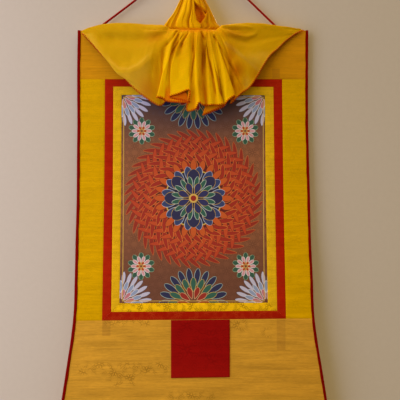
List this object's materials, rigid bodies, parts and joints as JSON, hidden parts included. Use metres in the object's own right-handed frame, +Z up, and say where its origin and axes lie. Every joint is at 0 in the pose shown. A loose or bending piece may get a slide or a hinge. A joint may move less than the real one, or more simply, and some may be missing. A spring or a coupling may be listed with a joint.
{
  "type": "thangka scroll painting with hanging cord and bottom rod",
  "caption": "Hung picture scroll of sewn brocade borders with a gathered cover cloth over its top edge, a hanging cord, and a wooden rod in the sleeve of its flared lower end.",
  "frame": {"origin": "underside of the hanging cord at the top of its loop, where it lies over a hook", "axes": "+Z up, +X to the viewer's right, -Y out of the picture's face towards the viewer"},
  "size_m": [0.5785, 0.0577, 0.9796],
  "materials": {
    "picture": "matt printed canvas",
    "yellow_silk": "satin brocade",
    "ochre_silk": "satin brocade",
    "red_brocade": "satin brocade",
    "door_brocade": "satin brocade",
    "binding": "matt cotton strip",
    "veil_silk": "thin shining silk",
    "tie_silk": "thin shining silk",
    "cord": "matt twisted cord",
    "rod_wood": "plain oiled wood"
  },
  "bodies": {
    "root": {"picture": "picture", "inner_border_left": "yellow_silk", "inner_border_right": "yellow_silk", "inner_border_top": "yellow_silk", "inner_border_bottom": "yellow_silk", "red_border_left": "red_brocade", "red_border_right": "red_brocade", "red_border_top": "red_brocade", "red_border_bottom": "red_brocade", "side_panel_left": "yellow_silk", "side_panel_right": "yellow_silk", "top_panel": "ochre_silk", "bottom_panel": "ochre_silk", "door_patch": "door_brocade", "binding_left": "binding", "binding_right": "binding", "veil": "veil_silk", "veil_tie": "tie_silk", "hanging_cord": "cord", "bottom_rod": "rod_wood"}
  },
  "joints": []
}
